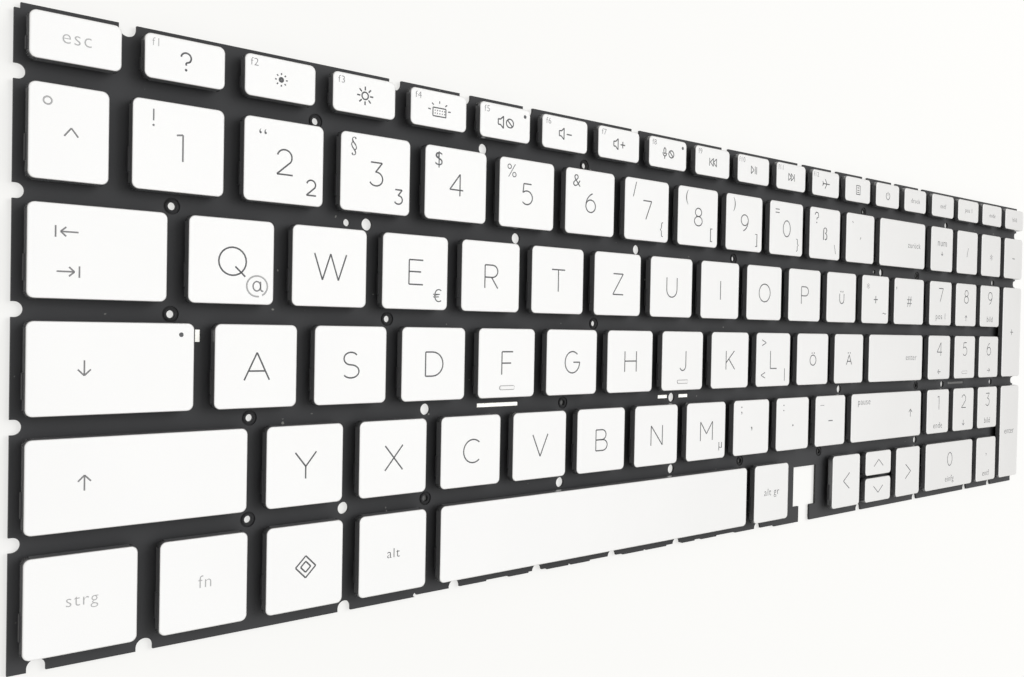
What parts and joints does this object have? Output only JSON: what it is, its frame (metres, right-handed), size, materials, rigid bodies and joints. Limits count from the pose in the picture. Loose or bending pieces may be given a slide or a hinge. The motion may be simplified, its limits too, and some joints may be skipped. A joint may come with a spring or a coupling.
{
  "type": "laptop keyboard module",
  "caption": "Flat laptop keyboard module with silver island keys, a number pad and a sensor bay on a dark carrier sheet; letter keys press straight down and spring back.",
  "frame": {"origin": "on the surface that the module lies on, under the middle of the support plate", "axes": "+X along the key rows towards the number pad, +Y towards the function row, +Z out of the key tops"},
  "size_m": [0.3424, 0.1026, 0.0042],
  "materials": {
    "key_silver": "satin silver paint",
    "membrane_black": "matte charcoal",
    "plate_steel": "matte dark coating",
    "guide_clear": "clear film",
    "reflector_white": "matte white film",
    "scissor_plastic": "moulded",
    "dome_rubber": "translucent silicone",
    "wire_steel": "drawn wire"
  },
  "bodies": {
    "module": {"support_plate": "plate_steel", "membrane_sheet": "membrane_black", "light_guide": "guide_clear", "reflector_film": "reflector_white", "scissor_outer_frames": "scissor_plastic", "scissor_inner_frames": "scissor_plastic", "rubber_domes": "dome_rubber", "stabiliser_wires": "wire_steel", "function_row_caps": "key_silver", "number_row_caps": "key_silver", "number_pad_caps": "key_silver"},
    "key_tab": {"key_tab": "key_silver"},
    "key_q": {"key_q": "key_silver"},
    "key_w": {"key_w": "key_silver"},
    "key_e": {"key_e": "key_silver"},
    "key_r": {"key_r": "key_silver"},
    "key_t": {"key_t": "key_silver"},
    "key_z": {"key_z": "key_silver"},
    "key_u": {"key_u": "key_silver"},
    "key_i": {"key_i": "key_silver"},
    "key_o": {"key_o": "key_silver"},
    "key_p": {"key_p": "key_silver"},
    "key_u_umlaut": {"key_u_umlaut": "key_silver"},
    "key_plus": {"key_plus": "key_silver"},
    "key_hash": {"key_hash": "key_silver"},
    "key_caps_lock": {"key_caps_lock": "key_silver"},
    "key_a": {"key_a": "key_silver"},
    "key_s": {"key_s": "key_silver"},
    "key_d": {"key_d": "key_silver"},
    "key_f": {"key_f": "key_silver"},
    "key_g": {"key_g": "key_silver"},
    "key_h": {"key_h": "key_silver"},
    "key_j": {"key_j": "key_silver"},
    "key_k": {"key_k": "key_silver"},
    "key_l": {"key_l": "key_silver"},
    "key_o_umlaut": {"key_o_umlaut": "key_silver"},
    "key_a_umlaut": {"key_a_umlaut": "key_silver"},
    "key_enter": {"key_enter": "key_silver"},
    "key_left_shift": {"key_left_shift": "key_silver"},
    "key_y": {"key_y": "key_silver"},
    "key_x": {"key_x": "key_silver"},
    "key_c": {"key_c": "key_silver"},
    "key_v": {"key_v": "key_silver"},
    "key_b": {"key_b": "key_silver"},
    "key_n": {"key_n": "key_silver"},
    "key_m": {"key_m": "key_silver"},
    "key_comma": {"key_comma": "key_silver"},
    "key_period": {"key_period": "key_silver"},
    "key_minus": {"key_minus": "key_silver"},
    "key_right_shift": {"key_right_shift": "key_silver"},
    "key_control": {"key_control": "key_silver"},
    "key_fn": {"key_fn": "key_silver"},
    "key_system": {"key_system": "key_silver"},
    "key_alt": {"key_alt": "key_silver"},
    "key_space": {"key_space": "key_silver"},
    "key_alt_graph": {"key_alt_graph": "key_silver"},
    "key_arrow_left": {"key_arrow_left": "key_silver"},
    "key_arrow_right": {"key_arrow_right": "key_silver"},
    "key_arrow_up": {"key_arrow_up": "key_silver"},
    "key_arrow_down": {"key_arrow_down": "key_silver"}
  },
  "joints": [
    {"name": "press_tab", "type": "slide", "parent": "module", "child": "key_tab", "axis": [0, 0, -1], "range_m": [0, 0.0012], "stiffness_N_per_m": 300, "springref_m": -0.0006, "deforming": ["rubber_domes", "scissor_outer_frames", "scissor_inner_frames"]},
    {"name": "press_q", "type": "slide", "parent": "module", "child": "key_q", "axis": [0, 0, -1], "range_m": [0, 0.0012], "stiffness_N_per_m": 300, "springref_m": -0.0006, "deforming": ["rubber_domes", "scissor_outer_frames", "scissor_inner_frames"]},
    {"name": "press_w", "type": "slide", "parent": "module", "child": "key_w", "axis": [0, 0, -1], "range_m": [0, 0.0012], "stiffness_N_per_m": 300, "springref_m": -0.0006, "deforming": ["rubber_domes", "scissor_outer_frames", "scissor_inner_frames"]},
    {"name": "press_e", "type": "slide", "parent": "module", "child": "key_e", "axis": [0, 0, -1], "range_m": [0, 0.0012], "stiffness_N_per_m": 300, "springref_m": -0.0006, "deforming": ["rubber_domes", "scissor_outer_frames", "scissor_inner_frames"]},
    {"name": "press_r", "type": "slide", "parent": "module", "child": "key_r", "axis": [0, 0, -1], "range_m": [0, 0.0012], "stiffness_N_per_m": 300, "springref_m": -0.0006, "deforming": ["rubber_domes", "scissor_outer_frames", "scissor_inner_frames"]},
    {"name": "press_t", "type": "slide", "parent": "module", "child": "key_t", "axis": [0, 0, -1], "range_m": [0, 0.0012], "stiffness_N_per_m": 300, "springref_m": -0.0006, "deforming": ["rubber_domes", "scissor_outer_frames", "scissor_inner_frames"]},
    {"name": "press_z", "type": "slide", "parent": "module", "child": "key_z", "axis": [0, 0, -1], "range_m": [0, 0.0012], "stiffness_N_per_m": 300, "springref_m": -0.0006, "deforming": ["rubber_domes", "scissor_outer_frames", "scissor_inner_frames"]},
    {"name": "press_u", "type": "slide", "parent": "module", "child": "key_u", "axis": [0, 0, -1], "range_m": [0, 0.0012], "stiffness_N_per_m": 300, "springref_m": -0.0006, "deforming": ["rubber_domes", "scissor_outer_frames", "scissor_inner_frames"]},
    {"name": "press_i", "type": "slide", "parent": "module", "child": "key_i", "axis": [0, 0, -1], "range_m": [0, 0.0012], "stiffness_N_per_m": 300, "springref_m": -0.0006, "deforming": ["rubber_domes", "scissor_outer_frames", "scissor_inner_frames"]},
    {"name": "press_o", "type": "slide", "parent": "module", "child": "key_o", "axis": [0, 0, -1], "range_m": [0, 0.0012], "stiffness_N_per_m": 300, "springref_m": -0.0006, "deforming": ["rubber_domes", "scissor_outer_frames", "scissor_inner_frames"]},
    {"name": "press_p", "type": "slide", "parent": "module", "child": "key_p", "axis": [0, 0, -1], "range_m": [0, 0.0012], "stiffness_N_per_m": 300, "springref_m": -0.0006, "deforming": ["rubber_domes", "scissor_outer_frames", "scissor_inner_frames"]},
    {"name": "press_u_umlaut", "type": "slide", "parent": "module", "child": "key_u_umlaut", "axis": [0, 0, -1], "range_m": [0, 0.0012], "stiffness_N_per_m": 300, "springref_m": -0.0006, "deforming": ["rubber_domes", "scissor_outer_frames", "scissor_inner_frames"]},
    {"name": "press_plus", "type": "slide", "parent": "module", "child": "key_plus", "axis": [0, 0, -1], "range_m": [0, 0.0012], "stiffness_N_per_m": 300, "springref_m": -0.0006, "deforming": ["rubber_domes", "scissor_outer_frames", "scissor_inner_frames"]},
    {"name": "press_hash", "type": "slide", "parent": "module", "child": "key_hash", "axis": [0, 0, -1], "range_m": [0, 0.0012], "stiffness_N_per_m": 300, "springref_m": -0.0006, "deforming": ["rubber_domes", "scissor_outer_frames", "scissor_inner_frames"]},
    {"name": "press_caps_lock", "type": "slide", "parent": "module", "child": "key_caps_lock", "axis": [0, 0, -1], "range_m": [0, 0.0012], "stiffness_N_per_m": 300, "springref_m": -0.0006, "deforming": ["rubber_domes", "scissor_outer_frames", "scissor_inner_frames", "stabiliser_wires"]},
    {"name": "press_a", "type": "slide", "parent": "module", "child": "key_a", "axis": [0, 0, -1], "range_m": [0, 0.0012], "stiffness_N_per_m": 300, "springref_m": -0.0006, "deforming": ["rubber_domes", "scissor_outer_frames", "scissor_inner_frames"]},
    {"name": "press_s", "type": "slide", "parent": "module", "child": "key_s", "axis": [0, 0, -1], "range_m": [0, 0.0012], "stiffness_N_per_m": 300, "springref_m": -0.0006, "deforming": ["rubber_domes", "scissor_outer_frames", "scissor_inner_frames"]},
    {"name": "press_d", "type": "slide", "parent": "module", "child": "key_d", "axis": [0, 0, -1], "range_m": [0, 0.0012], "stiffness_N_per_m": 300, "springref_m": -0.0006, "deforming": ["rubber_domes", "scissor_outer_frames", "scissor_inner_frames"]},
    {"name": "press_f", "type": "slide", "parent": "module", "child": "key_f", "axis": [0, 0, -1], "range_m": [0, 0.0012], "stiffness_N_per_m": 300, "springref_m": -0.0006, "deforming": ["rubber_domes", "scissor_outer_frames", "scissor_inner_frames"]},
    {"name": "press_g", "type": "slide", "parent": "module", "child": "key_g", "axis": [0, 0, -1], "range_m": [0, 0.0012], "stiffness_N_per_m": 300, "springref_m": -0.0006, "deforming": ["rubber_domes", "scissor_outer_frames", "scissor_inner_frames"]},
    {"name": "press_h", "type": "slide", "parent": "module", "child": "key_h", "axis": [0, 0, -1], "range_m": [0, 0.0012], "stiffness_N_per_m": 300, "springref_m": -0.0006, "deforming": ["rubber_domes", "scissor_outer_frames", "scissor_inner_frames"]},
    {"name": "press_j", "type": "slide", "parent": "module", "child": "key_j", "axis": [0, 0, -1], "range_m": [0, 0.0012], "stiffness_N_per_m": 300, "springref_m": -0.0006, "deforming": ["rubber_domes", "scissor_outer_frames", "scissor_inner_frames"]},
    {"name": "press_k", "type": "slide", "parent": "module", "child": "key_k", "axis": [0, 0, -1], "range_m": [0, 0.0012], "stiffness_N_per_m": 300, "springref_m": -0.0006, "deforming": ["rubber_domes", "scissor_outer_frames", "scissor_inner_frames"]},
    {"name": "press_l", "type": "slide", "parent": "module", "child": "key_l", "axis": [0, 0, -1], "range_m": [0, 0.0012], "stiffness_N_per_m": 300, "springref_m": -0.0006, "deforming": ["rubber_domes", "scissor_outer_frames", "scissor_inner_frames"]},
    {"name": "press_o_umlaut", "type": "slide", "parent": "module", "child": "key_o_umlaut", "axis": [0, 0, -1], "range_m": [0, 0.0012], "stiffness_N_per_m": 300, "springref_m": -0.0006, "deforming": ["rubber_domes", "scissor_outer_frames", "scissor_inner_frames"]},
    {"name": "press_a_umlaut", "type": "slide", "parent": "module", "child": "key_a_umlaut", "axis": [0, 0, -1], "range_m": [0, 0.0012], "stiffness_N_per_m": 300, "springref_m": -0.0006, "deforming": ["rubber_domes", "scissor_outer_frames", "scissor_inner_frames"]},
    {"name": "press_enter", "type": "slide", "parent": "module", "child": "key_enter", "axis": [0, 0, -1], "range_m": [0, 0.0012], "stiffness_N_per_m": 300, "springref_m": -0.0006, "deforming": ["rubber_domes", "scissor_outer_frames", "scissor_inner_frames", "stabiliser_wires"]},
    {"name": "press_left_shift", "type": "slide", "parent": "module", "child": "key_left_shift", "axis": [0, 0, -1], "range_m": [0, 0.0012], "stiffness_N_per_m": 300, "springref_m": -0.0006, "deforming": ["rubber_domes", "scissor_outer_frames", "scissor_inner_frames", "stabiliser_wires"]},
    {"name": "press_y", "type": "slide", "parent": "module", "child": "key_y", "axis": [0, 0, -1], "range_m": [0, 0.0012], "stiffness_N_per_m": 300, "springref_m": -0.0006, "deforming": ["rubber_domes", "scissor_outer_frames", "scissor_inner_frames"]},
    {"name": "press_x", "type": "slide", "parent": "module", "child": "key_x", "axis": [0, 0, -1], "range_m": [0, 0.0012], "stiffness_N_per_m": 300, "springref_m": -0.0006, "deforming": ["rubber_domes", "scissor_outer_frames", "scissor_inner_frames"]},
    {"name": "press_c", "type": "slide", "parent": "module", "child": "key_c", "axis": [0, 0, -1], "range_m": [0, 0.0012], "stiffness_N_per_m": 300, "springref_m": -0.0006, "deforming": ["rubber_domes", "scissor_outer_frames", "scissor_inner_frames"]},
    {"name": "press_v", "type": "slide", "parent": "module", "child": "key_v", "axis": [0, 0, -1], "range_m": [0, 0.0012], "stiffness_N_per_m": 300, "springref_m": -0.0006, "deforming": ["rubber_domes", "scissor_outer_frames", "scissor_inner_frames"]},
    {"name": "press_b", "type": "slide", "parent": "module", "child": "key_b", "axis": [0, 0, -1], "range_m": [0, 0.0012], "stiffness_N_per_m": 300, "springref_m": -0.0006, "deforming": ["rubber_domes", "scissor_outer_frames", "scissor_inner_frames"]},
    {"name": "press_n", "type": "slide", "parent": "module", "child": "key_n", "axis": [0, 0, -1], "range_m": [0, 0.0012], "stiffness_N_per_m": 300, "springref_m": -0.0006, "deforming": ["rubber_domes", "scissor_outer_frames", "scissor_inner_frames"]},
    {"name": "press_m", "type": "slide", "parent": "module", "child": "key_m", "axis": [0, 0, -1], "range_m": [0, 0.0012], "stiffness_N_per_m": 300, "springref_m": -0.0006, "deforming": ["rubber_domes", "scissor_outer_frames", "scissor_inner_frames"]},
    {"name": "press_comma", "type": "slide", "parent": "module", "child": "key_comma", "axis": [0, 0, -1], "range_m": [0, 0.0012], "stiffness_N_per_m": 300, "springref_m": -0.0006, "deforming": ["rubber_domes", "scissor_outer_frames", "scissor_inner_frames"]},
    {"name": "press_period", "type": "slide", "parent": "module", "child": "key_period", "axis": [0, 0, -1], "range_m": [0, 0.0012], "stiffness_N_per_m": 300, "springref_m": -0.0006, "deforming": ["rubber_domes", "scissor_outer_frames", "scissor_inner_frames"]},
    {"name": "press_minus", "type": "slide", "parent": "module", "child": "key_minus", "axis": [0, 0, -1], "range_m": [0, 0.0012], "stiffness_N_per_m": 300, "springref_m": -0.0006, "deforming": ["rubber_domes", "scissor_outer_frames", "scissor_inner_frames"]},
    {"name": "press_right_shift", "type": "slide", "parent": "module", "child": "key_right_shift", "axis": [0, 0, -1], "range_m": [0, 0.0012], "stiffness_N_per_m": 300, "springref_m": -0.0006, "deforming": ["rubber_domes", "scissor_outer_frames", "scissor_inner_frames", "stabiliser_wires"]},
    {"name": "press_control", "type": "slide", "parent": "module", "child": "key_control", "axis": [0, 0, -1], "range_m": [0, 0.0012], "stiffness_N_per_m": 300, "springref_m": -0.0006, "deforming": ["rubber_domes", "scissor_outer_frames", "scissor_inner_frames"]},
    {"name": "press_fn", "type": "slide", "parent": "module", "child": "key_fn", "axis": [0, 0, -1], "range_m": [0, 0.0012], "stiffness_N_per_m": 300, "springref_m": -0.0006, "deforming": ["rubber_domes", "scissor_outer_frames", "scissor_inner_frames"]},
    {"name": "press_system", "type": "slide", "parent": "module", "child": "key_system", "axis": [0, 0, -1], "range_m": [0, 0.0012], "stiffness_N_per_m": 300, "springref_m": -0.0006, "deforming": ["rubber_domes", "scissor_outer_frames", "scissor_inner_frames"]},
    {"name": "press_alt", "type": "slide", "parent": "module", "child": "key_alt", "axis": [0, 0, -1], "range_m": [0, 0.0012], "stiffness_N_per_m": 300, "springref_m": -0.0006, "deforming": ["rubber_domes", "scissor_outer_frames", "scissor_inner_frames"]},
    {"name": "press_space", "type": "slide", "parent": "module", "child": "key_space", "axis": [0, 0, -1], "range_m": [0, 0.0012], "stiffness_N_per_m": 300, "springref_m": -0.0006, "deforming": ["rubber_domes", "scissor_outer_frames", "scissor_inner_frames", "stabiliser_wires"]},
    {"name": "press_alt_graph", "type": "slide", "parent": "module", "child": "key_alt_graph", "axis": [0, 0, -1], "range_m": [0, 0.0012], "stiffness_N_per_m": 300, "springref_m": -0.0006, "deforming": ["rubber_domes", "scissor_outer_frames", "scissor_inner_frames"]},
    {"name": "press_arrow_left", "type": "slide", "parent": "module", "child": "key_arrow_left", "axis": [0, 0, -1], "range_m": [0, 0.0012], "stiffness_N_per_m": 300, "springref_m": -0.0006, "deforming": ["rubber_domes", "scissor_outer_frames", "scissor_inner_frames"]},
    {"name": "press_arrow_right", "type": "slide", "parent": "module", "child": "key_arrow_right", "axis": [0, 0, -1], "range_m": [0, 0.0012], "stiffness_N_per_m": 300, "springref_m": -0.0006, "deforming": ["rubber_domes", "scissor_outer_frames", "scissor_inner_frames"]},
    {"name": "press_arrow_up", "type": "slide", "parent": "module", "child": "key_arrow_up", "axis": [0, 0, -1], "range_m": [0, 0.0012], "stiffness_N_per_m": 300, "springref_m": -0.0006, "deforming": ["rubber_domes", "scissor_outer_frames", "scissor_inner_frames"]},
    {"name": "press_arrow_down", "type": "slide", "parent": "module", "child": "key_arrow_down", "axis": [0, 0, -1], "range_m": [0, 0.0012], "stiffness_N_per_m": 300, "springref_m": -0.0006, "deforming": ["rubber_domes", "scissor_outer_frames", "scissor_inner_frames"]}
  ]
}
